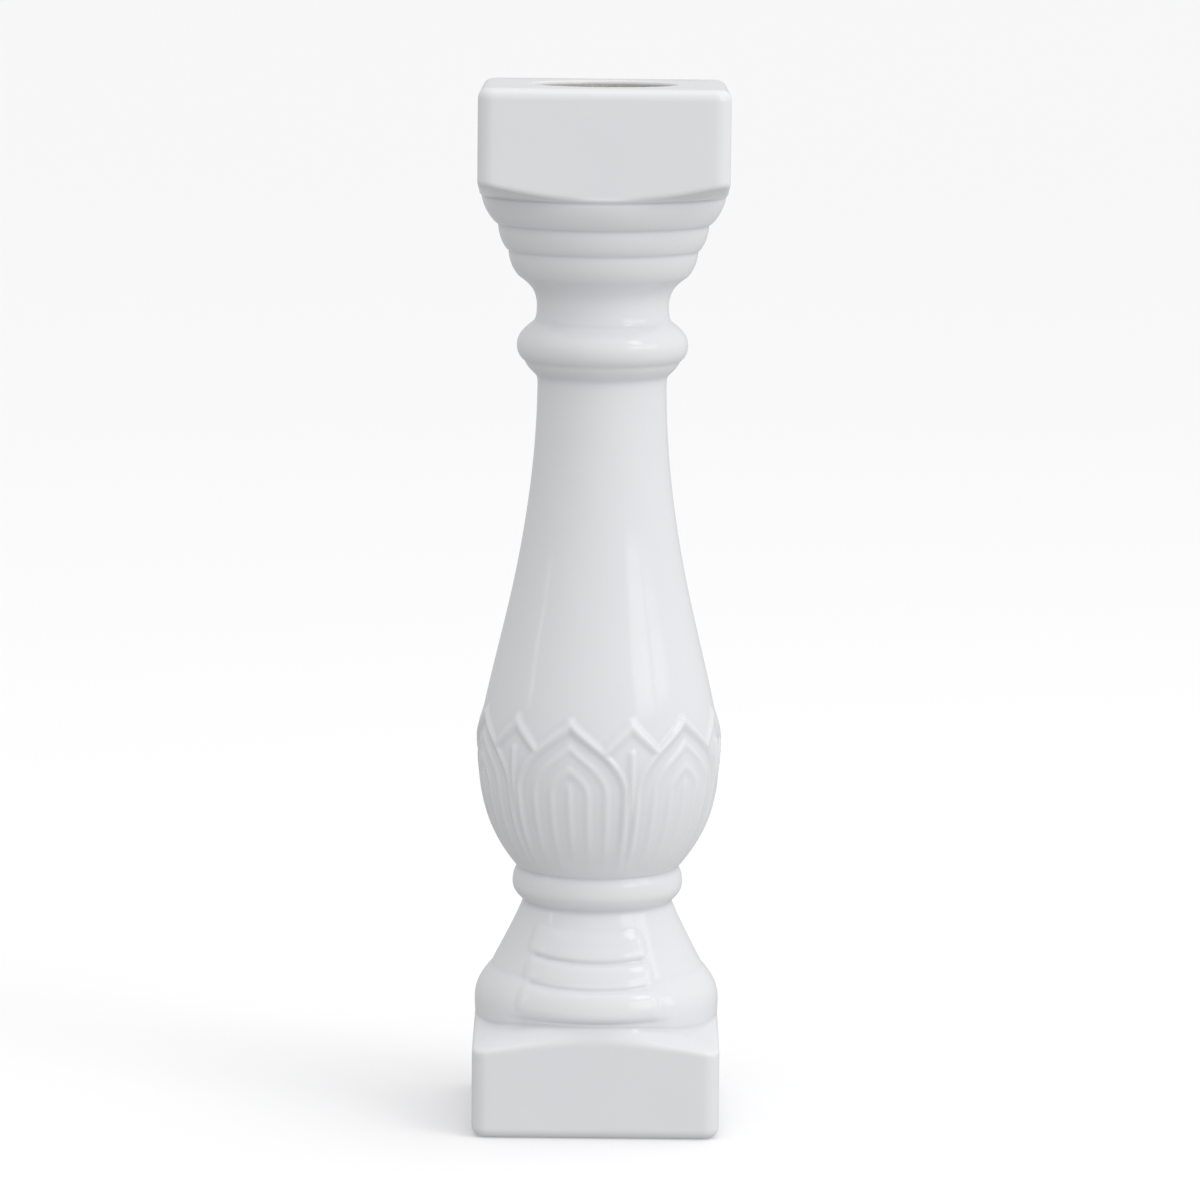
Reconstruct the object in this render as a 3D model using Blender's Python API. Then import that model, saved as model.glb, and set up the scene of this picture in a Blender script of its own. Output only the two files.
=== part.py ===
"""Glazed ceramic baluster, cast hollow in one piece.

A square cap, three turned rings, a neck with its ring, a vase body with lotus petals round
the belly, a foot ring, and a base that flares to a square plinth. The origin is the middle
of the underside, +Z is up and the front faces -Y. All sizes are in metres.
"""

import math

import bmesh
import bpy
from mathutils import Vector
from mathutils.geometry import interpolate_bezier

# Overall sizes
HEIGHT = 0.508
BLOCK_WIDTH = 0.12065
WALL = 0.009
MOUTH_DIAMETER = 0.070

# Square cap and plinth
CORNER_RADIUS = 0.008
EDGE_RADIUS = 0.005
PLINTH_FACE = 0.0474
CAP_FACE = 0.0530
PLINTH_EDGE_SLOPE = 0.25
CAP_EDGE_SLOPE = 0.33
FACE_EDGE_SOFTENING = 0.0012
CAVITY_FILLET = 0.006
INNER_RISE = 0.004
LEAST_CORNER = 0.0005
FACE_EDGE_REACH = 0.010

# Three rings under the cap, from the cap down: height of each, radius above each
RING_HEIGHTS = (0.0136, 0.0125, 0.0126)
RING_RADII = (0.0583, 0.0515, 0.0464)
RING_SWELL = 0.0013
RING_GAP = 0.0008
COVE_TOP_RADIUS = 0.0412
COVE_HEIGHT = 0.0164

# Neck and its ring
NECK_RADIUS = 0.0323
NECK_HEIGHT = 0.0056
NECK_RING_RADIUS = 0.0417
NECK_RING_HEIGHT = 0.0196
NECK_RING_SHELF = 0.0012
NECK_RING_LIP = 0.0035
NECK_RING_CORE = 0.0317
COLLAR_HEIGHT = 0.0066
COLLAR_DROP = 0.006
COLLAR_SHELF = 0.0018
COLLAR_FILLET = 0.0006
COLLAR_HOLLOW = 0.0002

# Vase body
SHAFT_RADIUS = 0.0314
BELLY_RADIUS = 0.0595
BELLY_RISE = 0.058
BELLY_FOOT_RADIUS = 0.0402
BELLY_QUIRK = 0.0015

# Lotus petals round the belly
PETAL_COUNT = 6
PETAL_TURN = math.radians(-14)
PETAL_HEIGHT = 0.0794
PETAL_SPRING = 0.0432
ARCH_DROP = 0.012
ARCH_SPREADS = (0.90, 0.60, 0.30, 0.0)
REAR_PETAL_SPREAD = 0.74
RIDGE_WIDTH = 0.0046
RIDGE_HEIGHT = 0.0013
PETAL_SINK = 0.0005
PETAL_FOOT_FADE = 0.012

# Foot ring and flared base
FOOT_RING_RADIUS = 0.0415
FOOT_RING_HEIGHT = 0.0174
WAIST_RADIUS = 0.0367
FLARE_HEIGHT = 0.0592
SHOULDER_RADIUS = 0.0602
SHOULDER_HEIGHT = 0.0103
SHOULDER_FOOT = 0.0016
SHOULDER_SWELL = 0.0005
FLARE_TURN_RADIUS = 0.0521
FLARE_TURN_HEIGHT = 0.0175
BAND_HEIGHTS = (0.0140, 0.0122, 0.0142)
BAND_DEPTH = 0.0010
BAND_SWELL = 0.0016
BAND_TURN = math.radians(-6)
BAND_HALF_ANGLE = math.radians(40)
BAND_END_FADE = math.radians(5)
BAND_END_LIFT = 0.0016

# Fineness of the faces
FLAT_STEPS = 4
CORNER_STEPS = 4
PETAL_COLUMNS = 20
CREST_LEAN = 0.12
INNER_COLUMNS = 24

# Heights worked out from the sizes above, from the ground up
SHOULDER_Z = PLINTH_FACE + SHOULDER_HEIGHT
WAIST_Z = PLINTH_FACE + FLARE_HEIGHT
FOOT_Z = WAIST_Z + FOOT_RING_HEIGHT
BELLY_Z = FOOT_Z + BELLY_RISE
PETAL_TIP_Z = FOOT_Z + PETAL_HEIGHT
PETAL_SPRING_Z = FOOT_Z + PETAL_SPRING

# Heights worked out from the top down
CAP_EDGE_Z = HEIGHT - CAP_FACE
RINGS_Z = CAP_EDGE_Z - RING_GAP
COVE_Z = RINGS_Z - sum(RING_HEIGHTS)
NECK_Z = COVE_Z - COVE_HEIGHT
NECK_RING_Z = NECK_Z - NECK_HEIGHT
COLLAR_Z = NECK_RING_Z - NECK_RING_HEIGHT
SHAFT_Z = COLLAR_Z - COLLAR_HEIGHT - COLLAR_DROP

HALF = BLOCK_WIDTH / 2
MOUTH_RADIUS = MOUTH_DIAMETER / 2


def smooth(value, low, high):
    """Ease from 0 at low to 1 at high."""
    share = min(max((value - low) / (high - low), 0.0), 1.0)
    return share * share * (3 - 2 * share)


def bend(start, start_handle, end_handle, end, steps):
    """Points (radius, height) of a smooth curve, its end left to the next moulding."""
    corners = [Vector((r, z, 0)) for r, z in (start, start_handle, end_handle, end)]
    return [(p.x, p.y) for p in interpolate_bezier(*corners, steps + 1)[:-1]]


def swell(start, end, rise, steps):
    """Points of a shallow round moulding that stands out by rise between two quirks."""
    points = []
    for i in range(steps):
        share = i / steps
        radius = start[0] + (end[0] - start[0]) * share + rise * 4 * share * (1 - share)
        points.append((radius, start[1] + (end[1] - start[1]) * share))
    return points


def block_radius(angle, inset=0.0):
    """Distance from the axis to the face of the square block, moved in by inset."""
    half = HALF - inset
    corner = max(CORNER_RADIUS - inset, LEAST_CORNER)
    turn = abs((angle + math.pi / 4) % (math.pi / 2) - math.pi / 4)
    middle = half - corner
    if half * math.tan(turn) <= middle:
        return half / math.cos(turn)
    along = middle * (math.cos(turn) + math.sin(turn))
    return along + math.sqrt(along * along - 2 * middle * middle + corner * corner)


def ogee(share):
    """Half width of a pointed petal, 0 at its tip and 1 where it springs."""
    share = min(max(share, 0.0), 1.0)
    return math.sin(share * math.pi / 2) - 1.1 * share * (1 - share) ** 6


def petal_edge(z, tip_z, spread):
    """Angle from a petal's middle to its outline at a height."""
    return spread * ogee((tip_z - z) / (tip_z - PETAL_SPRING_Z))


def crest_height(offset, tip_z, spread):
    """Height at which a petal's outline stands at an angle from its middle."""
    low, high = PETAL_SPRING_Z, tip_z
    for _ in range(20):
        middle = (low + high) / 2
        if petal_edge(middle, tip_z, spread) > offset:
            low = middle
        else:
            high = middle
    return high


def ridge(offset, z, radius, tip_z, spread):
    """Height of the rounded ridge that follows a petal's outline."""
    if z > tip_z:
        distance = math.hypot(offset * radius, z - tip_z)
    else:
        step = 0.0005
        lean = (petal_edge(z - step, tip_z, spread) - petal_edge(z, tip_z, spread)) / step
        across = (offset - petal_edge(z, tip_z, spread)) * radius
        distance = abs(across) / math.hypot(1, lean * radius)
    share = min(2 * distance / RIDGE_WIDTH, 1.0)
    return RIDGE_HEIGHT * (1 - share * share) ** 2


def petal_relief(angle, z, radius):
    """How far the petals stand out from the turned belly at a point."""
    if z > PETAL_TIP_Z + RIDGE_WIDTH or z < FOOT_Z:
        return 0.0
    pitch = math.pi / PETAL_COUNT
    offset = abs((angle - PETAL_TURN + pitch) % (2 * pitch) - pitch)
    outline = petal_edge(z, PETAL_TIP_Z, ARCH_SPREADS[0] * pitch)
    relief = 0.0
    if z <= PETAL_TIP_Z and offset <= outline:
        relief -= PETAL_SINK
    for i, spread in enumerate(ARCH_SPREADS):
        tip_z = PETAL_TIP_Z - i * ARCH_DROP
        relief = max(relief, ridge(offset, z, radius, tip_z, spread * pitch) - PETAL_SINK)
    if z > PETAL_TIP_Z or offset > outline:
        rear_spread = REAR_PETAL_SPREAD * pitch
        rear = ridge(pitch - offset, z, radius, PETAL_TIP_Z, rear_spread)
        rib = ridge(pitch - offset, z, radius, PETAL_TIP_Z - ARCH_DROP, 0.0)
        relief = max(relief, rear - PETAL_SINK, rib - PETAL_SINK, 0.0)
    return relief * smooth(z, FOOT_Z, FOOT_Z + PETAL_FOOT_FADE)


def band_relief(angle, z):
    """How far the front and back bands of the flared base stand out at a point."""
    turn = abs((angle - BAND_TURN + math.pi / 2) % math.pi - math.pi / 2)
    mask = 1 - smooth(turn, BAND_HALF_ANGLE - BAND_END_FADE, BAND_HALF_ANGLE)
    z -= BAND_END_LIFT * (turn / BAND_HALF_ANGLE) ** 2
    bottom = SHOULDER_Z
    for height in reversed(BAND_HEIGHTS):
        if bottom <= z <= bottom + height:
            share = (z - bottom) / height
            return mask * (BAND_SWELL * (1 - abs(2 * share - 1) ** 2.5) - BAND_DEPTH)
        bottom += height
    return 0.0


def columns(count, start=0.0):
    """Equally spaced angles round the axis."""
    return [start + 2 * math.pi * i / count for i in range(count)]


def block_columns():
    """Angles that meet the ends of the block's rounded corners."""
    corner = math.atan2(HALF - CORNER_RADIUS, HALF)
    angles = []
    for quarter in range(4):
        start = quarter * math.pi / 2
        angles += [start + corner * i / FLAT_STEPS for i in range(FLAT_STEPS)]
        span = math.pi / 2 - 2 * corner
        angles += [start + corner + span * i / CORNER_STEPS for i in range(CORNER_STEPS)]
        angles += [start + math.pi / 2 - corner * (FLAT_STEPS - i) / FLAT_STEPS for i in range(FLAT_STEPS)]
    return angles


def ring(angles, place):
    """One loop of points, where place gives the radius and height at an angle."""
    loop = []
    for angle in angles:
        radius, z = place(angle)
        loop.append((angle, Vector((radius * math.sin(angle), -radius * math.cos(angle), z))))
    return loop


def turned_rings(points, angles):
    """Round loops through the points of a turned moulding."""
    return [ring(angles, lambda angle, p=p: p) for p in points]


def edge_rings(angles, z, direction):
    """Loops round the rounded edge where a block's face turns to a flat end."""
    loops = []
    for degrees in (90, 45, 0):
        turn = math.radians(degrees)
        inset = EDGE_RADIUS * (1 - math.cos(turn))
        height = z + direction * EDGE_RADIUS * (1 - math.sin(turn))
        loops.append(ring(angles, lambda angle, i=inset, h=height: (block_radius(angle, i), h)))
    return loops


def plinth_rings(angles):
    """From the mouth in the underside, round the bottom edge and up to the shoulder."""
    foot = (SHOULDER_RADIUS - SHOULDER_SWELL, PLINTH_FACE + SHOULDER_FOOT)

    def shelf(angle, share):
        face = block_radius(angle)
        beyond = smooth(face, HALF, HALF + FACE_EDGE_REACH)
        outer = face - FACE_EDGE_SOFTENING / 2 * beyond
        low = PLINTH_FACE - PLINTH_EDGE_SLOPE * (face - HALF)
        return outer + (foot[0] - outer) * share, low + (foot[1] - low) * share

    def wall_top(angle):
        face = block_radius(angle)
        return face, PLINTH_FACE - PLINTH_EDGE_SLOPE * (face - HALF) - FACE_EDGE_SOFTENING

    loops = edge_rings(angles, 0.0, 1)
    loops.append(ring(angles, wall_top))
    for share in (0.0, 0.5):
        loops.append(ring(angles, lambda angle, s=share: shelf(angle, s)))
    return loops + [ring(angles, lambda angle: foot)]


def flare_profile():
    """The flared base's smooth line, from its shoulder's foot up to the waist."""
    foot = (SHOULDER_RADIUS - SHOULDER_SWELL, PLINTH_FACE + SHOULDER_FOOT)
    top = (SHOULDER_RADIUS, SHOULDER_Z)
    turn = (FLARE_TURN_RADIUS, SHOULDER_Z + FLARE_TURN_HEIGHT)
    drop = turn[0] - WAIST_RADIUS
    rise = WAIST_Z - turn[1]
    lower = bend(top, (top[0], top[1] + FLARE_TURN_HEIGHT * 0.4),
                 (turn[0] + (top[0] - turn[0]) * 0.66, turn[1] - FLARE_TURN_HEIGHT * 0.34), turn, 24)
    upper = bend(turn, (turn[0] - drop * 0.31, turn[1] + rise * 0.30),
                 (WAIST_RADIUS + drop * 0.29, WAIST_Z - rise * 0.33), (WAIST_RADIUS, WAIST_Z), 24)
    return [foot] + lower + upper + [(WAIST_RADIUS, WAIST_Z)]


def radius_at(profile, z):
    """Radius of a profile at a height."""
    for low, high in zip(profile, profile[1:]):
        if low[1] <= z <= high[1]:
            share = (z - low[1]) / (high[1] - low[1])
            return low[0] + (high[0] - low[0]) * share
    return profile[-1][0] if z > profile[-1][1] else profile[0][0]


def flare_rings(angles):
    """The flared base with its bands, up to the waist under the foot ring."""
    profile = flare_profile()
    heights = [PLINTH_FACE + SHOULDER_HEIGHT / 2]
    bottom = SHOULDER_Z
    for height in reversed(BAND_HEIGHTS):
        heights += [bottom + height * share for share in (0.0, 0.2, 0.8)]
        bottom += height
    heights += [bottom, (bottom + WAIST_Z) / 2]

    def place(angle, z):
        return radius_at(profile, z) + band_relief(angle, z), z

    return [ring(angles, lambda angle, z=z: place(angle, z)) for z in heights]


def belly_profile(steps):
    """The vase body's outline from the foot ring up to the belly's widest line."""
    return bend((BELLY_FOOT_RADIUS, FOOT_Z), (BELLY_FOOT_RADIUS - BELLY_QUIRK, FOOT_Z + BELLY_QUIRK * 1.3),
                (BELLY_RADIUS, BELLY_Z - BELLY_RISE * 0.75), (BELLY_RADIUS, BELLY_Z), steps)


def shaft_profile(steps):
    """The vase body's outline from the belly's widest line up to the shaft's top."""
    rise = SHAFT_Z - BELLY_Z
    return bend((BELLY_RADIUS, BELLY_Z), (BELLY_RADIUS, BELLY_Z + rise * 0.18),
                (SHAFT_RADIUS, SHAFT_Z - rise * 0.45), (SHAFT_RADIUS, SHAFT_Z), steps)


def petal_heights(offset):
    """Heights at an angle from a petal's middle, so that faces meet along every crest."""
    pitch = math.pi / PETAL_COUNT
    heights = [FOOT_Z + PETAL_SPRING * share for share in (0.0, 0.15, 0.42, 0.72)]
    crests = []
    for i, spread in reversed(list(enumerate(ARCH_SPREADS[:-1]))):
        drop = ARCH_DROP * i * CREST_LEAN * smooth(offset, spread * pitch, pitch)
        crests.append(crest_height(offset, PETAL_TIP_Z - i * ARCH_DROP, spread * pitch) - drop)
    heights.append(crests[0])
    for low, high in zip(crests, crests[1:]):
        heights += [(low + high) / 2, high]
    rear = crest_height(pitch - offset, PETAL_TIP_Z, REAR_PETAL_SPREAD * pitch)
    rear = max(rear, crests[-1] + RIDGE_WIDTH * 0.6)
    return heights + [(crests[-1] + rear) / 2, rear, PETAL_TIP_Z + RIDGE_WIDTH * 1.2]


def petal_rings(body):
    """The belly's carved zone, with finer columns than the rest."""
    angles = columns(PETAL_COUNT * PETAL_COLUMNS, PETAL_TURN)
    pitch = math.pi / PETAL_COUNT

    def place(angle, row):
        offset = abs((angle - PETAL_TURN + pitch) % (2 * pitch) - pitch)
        z = petal_heights(offset)[row]
        radius = radius_at(body, z)
        return radius + petal_relief(angle, z, radius), z

    rows = range(len(petal_heights(0.0)))
    return [ring(angles, lambda angle, row=row: place(angle, row)) for row in rows]


def foot_ring_profile():
    """The round foot ring between the waist and the belly."""
    middle = WAIST_Z + FOOT_RING_HEIGHT * 0.58
    swelling = FOOT_RING_RADIUS - WAIST_RADIUS
    turn = FOOT_RING_RADIUS - BELLY_FOOT_RADIUS
    lower = bend((WAIST_RADIUS, WAIST_Z),
                 (WAIST_RADIUS + swelling * 0.17, WAIST_Z + FOOT_RING_HEIGHT * 0.2),
                 (FOOT_RING_RADIUS, middle - FOOT_RING_HEIGHT * 0.26), (FOOT_RING_RADIUS, middle), 4)
    upper = bend((FOOT_RING_RADIUS, middle), (FOOT_RING_RADIUS, middle + FOOT_RING_HEIGHT * 0.17),
                 (BELLY_FOOT_RADIUS + turn * 0.46, FOOT_Z - FOOT_RING_HEIGHT * 0.06),
                 (BELLY_FOOT_RADIUS, FOOT_Z), 3)
    return lower + upper


def neck_profile():
    """The collar, the neck ring and the neck, from the shaft's top up to the cove."""
    lip = NECK_RING_RADIUS - NECK_RING_LIP
    points = [(SHAFT_RADIUS, SHAFT_Z), (SHAFT_RADIUS + COLLAR_FILLET, SHAFT_Z + COLLAR_DROP * 0.7)]
    shelf = (SHAFT_RADIUS + COLLAR_SHELF, SHAFT_Z + COLLAR_DROP)
    points += swell(shelf, (lip, COLLAR_Z), -COLLAR_HOLLOW, 2)
    points.append((lip, COLLAR_Z))
    reach = NECK_RING_RADIUS - NECK_RING_CORE
    middle = COLLAR_Z + NECK_RING_HEIGHT * 0.37
    for degrees in (-28, -6, 16, 38, 60):
        turn = math.radians(degrees)
        points.append((NECK_RING_CORE + reach * math.cos(turn), middle + reach * math.sin(turn)))
    points.append((NECK_RADIUS + NECK_RING_SHELF, NECK_RING_Z))
    points += [(NECK_RADIUS, NECK_RING_Z + NECK_HEIGHT * 0.6), (NECK_RADIUS, NECK_Z)]
    return points


def cap_ring_profile():
    """The cove and the three rings, from the neck up to the quirk under the cap."""
    cove = bend((NECK_RADIUS, NECK_Z), (NECK_RADIUS, NECK_Z + COVE_HEIGHT * 0.5),
                (COVE_TOP_RADIUS - (COVE_TOP_RADIUS - NECK_RADIUS) * 0.53, COVE_Z - COVE_HEIGHT * 0.24),
                (COVE_TOP_RADIUS, COVE_Z), 5)
    points = cove[1:]
    low_radius = COVE_TOP_RADIUS
    z = COVE_Z
    for radius, height in zip(reversed(RING_RADII), reversed(RING_HEIGHTS)):
        points += swell((low_radius, z), (radius, z + height), RING_SWELL, 3)
        low_radius = radius
        z += height
    return points + [(low_radius, z)]


def cap_rings(angles):
    """The cap's underside, faces and top, in to the mouth."""

    def face_edge(angle):
        return CAP_EDGE_Z + CAP_EDGE_SLOPE * (block_radius(angle) - HALF)

    loops = [ring(angles, lambda a: (block_radius(a) - FACE_EDGE_SOFTENING / 2, face_edge(a)))]
    loops.append(ring(angles, lambda a: (block_radius(a), face_edge(a) + FACE_EDGE_SOFTENING)))
    return loops + edge_rings(angles, HEIGHT, -1)[::-1]


def inner_wall(points, distance):
    """The line that runs at a wall's thickness inside a turned outline."""
    inside = []
    for i, (radius, z) in enumerate(points):
        before = points[max(i - 1, 0)]
        after = points[min(i + 1, len(points) - 1)]
        along = Vector((after[0] - before[0], after[1] - before[1])).normalized()
        inside.append((radius - distance * along.y, z + distance * along.x))
    return inside


def cavity_rings(angles):
    """The hollow from the cap's mouth down to the mouth in the underside."""

    def cavity(angle, inset):
        return block_radius(angle, WALL + inset)

    def block_ring(inset, z):
        return ring(angles, lambda angle: (cavity(angle, inset), z))

    vase = inner_wall(belly_profile(5) + shaft_profile(6), WALL)
    bore = SHAFT_RADIUS - WALL
    flare = SHOULDER_RADIUS - WALL
    turned = [(RING_RADII[0] - WALL, RINGS_Z + WALL * 0.3)]
    turned.append((RING_RADII[1] - WALL, RINGS_Z - RING_HEIGHTS[0]))
    turned.append((COVE_TOP_RADIUS - WALL, COVE_Z + INNER_RISE))
    turned += [(NECK_RADIUS - WALL, NECK_Z), (NECK_RADIUS - WALL, NECK_RING_Z), (bore, SHAFT_Z)]
    turned += vase[:1:-1]
    turned += [(BELLY_FOOT_RADIUS - WALL, FOOT_Z), (WAIST_RADIUS - WALL, WAIST_Z + INNER_RISE / 2)]
    turned += [(WAIST_RADIUS - WALL + INNER_RISE / 4, WAIST_Z - INNER_RISE), (flare, SHOULDER_Z)]
    loops = [ring(angles, lambda angle: (MOUTH_RADIUS, HEIGHT))]
    loops.append(ring(angles, lambda angle: (MOUTH_RADIUS, HEIGHT - WALL)))
    loops.append(block_ring(CAVITY_FILLET, HEIGHT - WALL))
    loops.append(block_ring(0.0, HEIGHT - WALL - CAVITY_FILLET))
    loops.append(block_ring(0.0, CAP_EDGE_Z + WALL))
    loops += turned_rings(turned, angles)
    loops.append(block_ring(0.0, PLINTH_FACE - WALL))
    loops.append(block_ring(0.0, WALL + CAVITY_FILLET))
    loops.append(block_ring(CAVITY_FILLET, WALL))
    loops.append(ring(angles, lambda angle: (MOUTH_RADIUS, WALL)))
    loops.append(ring(angles, lambda angle: (MOUTH_RADIUS, 0.0)))
    return loops


def stitch(mesh, low, high):
    """Join two loops of vertices, which may differ in number, going round by angle."""
    if len(low) == len(high):
        for i in range(len(low)):
            j = (i + 1) % len(low)
            mesh.faces.new((low[i][1], low[j][1], high[j][1], high[i][1]))
        return
    turn = 2 * math.pi
    base = low[0][0]
    first = min(range(len(high)), key=lambda k: abs((high[k][0] - base + math.pi) % turn - math.pi))
    i = j = 0
    while i < len(low) or j < len(high):
        low_next = low[(i + 1) % len(low)]
        high_next = high[(first + j + 1) % len(high)]
        low_angle = (low_next[0] - base) % turn if i < len(low) - 1 else turn
        high_angle = (high_next[0] - base + math.pi / 90) % turn if j < len(high) - 1 else turn
        here_low = low[i % len(low)][1]
        here_high = high[(first + j) % len(high)][1]
        if j >= len(high) or (i < len(low) and low_angle <= high_angle):
            mesh.faces.new((here_low, low_next[1], here_high))
            i += 1
        else:
            mesh.faces.new((here_low, high_next[1], here_high))
            j += 1


def glazed_ceramic():
    """Clean white glaze over a cast ceramic body."""
    material = bpy.data.materials.new("White glazed ceramic")
    material.use_nodes = True
    shader = material.node_tree.nodes["Principled BSDF"]
    shader.inputs["Base Color"].default_value = (0.72, 0.73, 0.75, 1)
    shader.inputs["Roughness"].default_value = 0.12
    shader.inputs["Metallic"].default_value = 0.0
    return material


def build_baluster():
    """One closed skin: up the outside, in at the top mouth and down the hollow."""
    around = block_columns()
    inside = columns(INNER_COLUMNS)
    body = belly_profile(48) + shaft_profile(48)
    body.append((SHAFT_RADIUS, SHAFT_Z))
    above = [p for p in shaft_profile(11) if p[1] > PETAL_TIP_Z + RIDGE_WIDTH * 2]
    loops = plinth_rings(around)
    loops += flare_rings(around)
    loops += turned_rings(foot_ring_profile(), around)
    loops += petal_rings(body)
    loops += turned_rings(above, around)
    loops += turned_rings(neck_profile() + cap_ring_profile(), around)
    loops += cap_rings(around)
    loops += cavity_rings(inside)

    mesh = bmesh.new()
    rows = [[(angle, mesh.verts.new(point)) for angle, point in loop] for loop in loops]
    for low, high in zip(rows, rows[1:] + rows[:1]):
        stitch(mesh, low, high)
    bmesh.ops.recalc_face_normals(mesh, faces=mesh.faces[:])
    bmesh.ops.triangulate(mesh, faces=mesh.faces[:], quad_method="SHORT_EDGE")
    data = bpy.data.meshes.new("baluster")
    mesh.to_mesh(data)
    mesh.free()
    data.shade_smooth()
    data.set_sharp_from_angle(angle=math.radians(40))
    data.materials.append(glazed_ceramic())
    baluster = bpy.data.objects.new("baluster", data)
    bpy.context.scene.collection.objects.link(baluster)
    return baluster


for old in list(bpy.data.objects):
    bpy.data.objects.remove(old, do_unlink=True)
build_baluster()
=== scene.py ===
# %% [markdown]
# # A glazed ceramic baluster
# This post is slip cast: liquid clay is poured into a plaster mould, a wall of about nine
# millimetres sets against the plaster and the rest is poured out, so the piece is hollow. It is
# then dipped in a white glaze. The lesson builds its skin in mesh code, makes the glaze and the
# bare clay as materials, and lights them as in a plain studio.

# %% Load the solid that the piece has to fit
import math

import bpy
import numpy as np
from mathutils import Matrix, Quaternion, Vector
from mathutils.geometry import interpolate_bezier


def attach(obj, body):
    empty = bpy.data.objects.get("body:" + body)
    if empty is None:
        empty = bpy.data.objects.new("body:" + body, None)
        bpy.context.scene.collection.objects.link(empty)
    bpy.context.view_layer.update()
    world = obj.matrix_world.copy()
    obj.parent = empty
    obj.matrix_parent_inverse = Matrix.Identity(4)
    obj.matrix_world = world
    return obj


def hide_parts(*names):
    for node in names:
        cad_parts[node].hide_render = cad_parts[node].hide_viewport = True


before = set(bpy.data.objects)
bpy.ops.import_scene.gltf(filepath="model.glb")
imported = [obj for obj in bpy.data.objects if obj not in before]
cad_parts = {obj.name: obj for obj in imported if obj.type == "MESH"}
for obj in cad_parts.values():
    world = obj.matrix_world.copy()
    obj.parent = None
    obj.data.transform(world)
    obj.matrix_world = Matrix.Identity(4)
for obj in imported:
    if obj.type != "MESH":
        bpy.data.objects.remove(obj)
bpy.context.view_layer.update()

# %% [markdown]
# ## Sizes
# A mould maker works from a template: the heights and radii where one moulding meets the next.
# They could be typed in metres where each is used. They are written once, in millimetres, as on
# the template, and turned into metres in one place.

# %% Write the template's main sizes
MM = 0.001
HEIGHT = 508.0
HALF = 60.2  # half the width of the square blocks
WALL = 9.0
MOUTH_RADIUS = 35.0
RIM_RADIUS = 1.3  # soft rim of the mouth in the cap
CORNER_RADIUS = 8.0  # the blocks' upright corners
EDGE_RADIUS = 5.0  # the blocks' edges at the top and the foot
print("block", 2 * HALF, "mm wide, post", HEIGHT, "mm tall")

# %% Say where the turned form cuts the blocks' faces
PLINTH_FACE = 48.2  # height at the middle of a face
CAP_FACE = 455.0
PLINTH_SLOPE = 0.25  # change of height for each millimetre out from the middle
CAP_SLOPE = 0.33
EDGE_SETBACK = 2.2  # how far the soft edge reaches each way
FACE_START = 5.6  # the flat face begins this far from the block's end
print("faces cut at", PLINTH_FACE, "and", CAP_FACE, "mm")

# %% [markdown]
# ## The turned outline
# Between the two square blocks the post is turned, so one line of radius against height gives
# its form. The line could be a list of hundreds of points. Short Bezier curves are used instead,
# one for each moulding, because a curve stays smooth between two quirks and breaks only where
# the real mouldings do. Each entry is start, two handles and end, as radius and height.

# %% Draw one curve for each moulding, from the shoulder up to the cap
MOULDINGS = (
    ("shoulder", (59.9, 50.6), (60.1, 53.0), (60.2, 55.0), (60.2, 57.7)),
    ("flare, lower", (60.2, 57.7), (60.2, 64.7), (57.5, 69.2), (52.1, 75.2)),
    ("flare, upper", (52.1, 75.2), (47.3, 84.6), (40.9, 96.4), (37.3, 105.6)),
    ("waist", (37.3, 105.6), (36.8, 106.6), (36.7, 107.3), (37.4, 108.2)),
    ("foot ring, below", (37.4, 108.2), (38.8, 109.8), (41.8, 112.0), (41.9, 116.0)),
    ("foot ring, above", (41.9, 116.0), (41.9, 118.6), (41.6, 121.2), (40.0, 123.8)),
    ("quirk over the foot ring", (40.0, 123.8), (39.8, 124.3), (39.9, 124.8), (40.6, 125.3)),
    ("belly", (40.6, 125.3), (45.6, 131.4), (59.2, 148.0), (59.2, 182.0)),
    ("shaft", (59.2, 182.0), (59.2, 214.0), (32.6, 272.0), (31.5, 361.0)),
    ("collar fillet", (31.5, 361.0), (31.5, 363.8), (31.5, 365.6), (32.3, 366.6)),
    ("collar", (32.3, 366.6), (33.5, 368.3), (36.3, 369.8), (38.0, 373.8)),
    ("neck ring, below", (38.0, 373.8), (40.4, 375.4), (41.8, 378.2), (41.8, 381.6)),
    ("neck ring, above", (41.8, 381.6), (41.8, 386.6), (37.6, 390.2), (34.2, 392.6)),
    ("neck", (34.2, 392.6), (32.6, 393.8), (32.2, 396.4), (32.2, 400.4)),
    ("cove", (32.2, 400.4), (32.2, 408.4), (36.2, 411.4), (40.9, 414.8)),
    ("low ring", (40.9, 414.8), (42.9, 416.4), (46.0, 421.6), (46.2, 427.4)),
    ("middle ring", (46.2, 427.4), (48.5, 428.9), (51.2, 434.4), (51.3, 440.0)),
    ("high ring", (51.3, 440.0), (53.9, 441.4), (57.9, 446.8), (59.2, 452.6)),
    ("quirk under the cap", (59.2, 452.6), (59.2, 453.2), (59.3, 453.7), (59.5, 454.1)),
)
print(len(MOULDINGS), "mouldings")

# %% Walk along the mouldings, with closer rows where there is carving
SPACINGS = ((105.6, 1.0), (182.0, 0.95), (361.0, 1.6), (HEIGHT, 1.15))


def row_spacing(z):
    """How far apart the rows are at a height: each spacing holds up to the height before it."""
    return next(gap for top, gap in SPACINGS if z <= top)


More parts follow.
